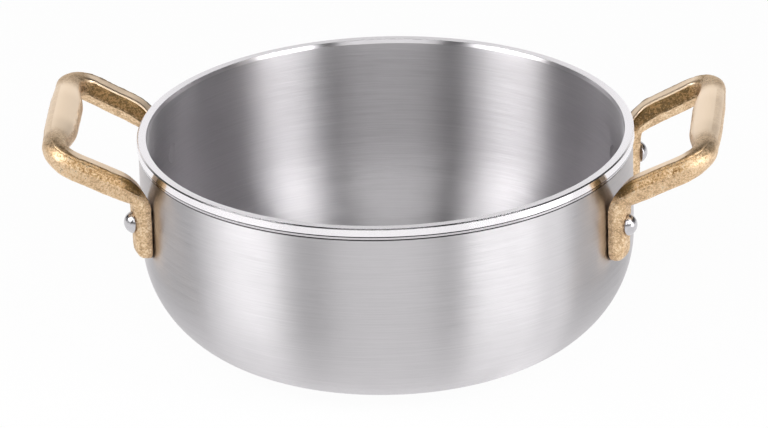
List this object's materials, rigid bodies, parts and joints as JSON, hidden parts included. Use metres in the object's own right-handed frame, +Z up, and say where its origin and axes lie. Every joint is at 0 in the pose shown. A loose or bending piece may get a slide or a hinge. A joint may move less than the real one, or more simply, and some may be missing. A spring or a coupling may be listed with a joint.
{
  "type": "egg pan",
  "caption": "Small round aluminium pan with a flat base, a large base corner and riveted cast brass loop handles.",
  "frame": {"origin": "centre of the underside of the flat base", "axes": "+X towards the right handle, +Y to the rear, +Z up along the pan's axis"},
  "size_m": [0.218, 0.16, 0.0789],
  "materials": {
    "pan_aluminium": "fine circular brushing outside and inside, brighter turned rim",
    "handle_brass": "sand cast on arms and feet, ground smooth and satin on the grip",
    "rivet_aluminium": "polished domed heads"
  },
  "bodies": {
    "root": {"pan_body": "pan_aluminium", "handle_right": "handle_brass", "handle_left": "handle_brass", "rivet_right_front": "rivet_aluminium", "rivet_right_rear": "rivet_aluminium", "rivet_left_front": "rivet_aluminium", "rivet_left_rear": "rivet_aluminium"}
  },
  "joints": []
}
